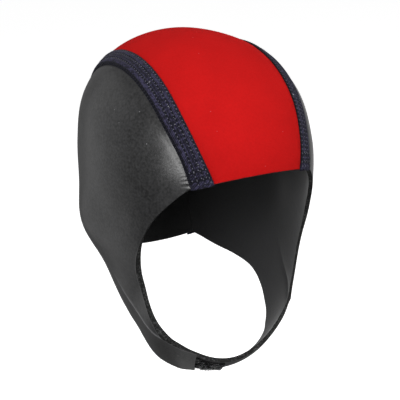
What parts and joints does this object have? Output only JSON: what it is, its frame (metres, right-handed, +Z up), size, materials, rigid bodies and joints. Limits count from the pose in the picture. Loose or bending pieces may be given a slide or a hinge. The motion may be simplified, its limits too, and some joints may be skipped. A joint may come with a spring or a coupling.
{
  "type": "neoprene swim cap",
  "caption": "Neoprene swim cap with a crown panel, tapes over its seams, and smooth side panels over the ears that run into a chin strap with a hook and loop closure.",
  "frame": {"origin": "inside of the crown's top, where the head touches it", "axes": "+Z up, -Y towards the face side, +X towards the wearer's left"},
  "size_m": [0.1598, 0.1882, 0.2373],
  "materials": {
    "red_jersey": "fine matt knit laminated to neoprene",
    "navy_tape": "matt ribbed elastic tape",
    "smooth_neoprene": "smooth skin with a soft sheen",
    "black_loop": "napped loop",
    "black_hook": "fine hooks"
  },
  "bodies": {
    "root": {"crown_panel": "red_jersey", "seam_tape_right": "navy_tape", "seam_tape_left": "navy_tape", "side_panel_right": "smooth_neoprene", "side_panel_left": "smooth_neoprene", "loop_patch": "black_loop", "hook_patch": "black_hook"}
  },
  "joints": []
}
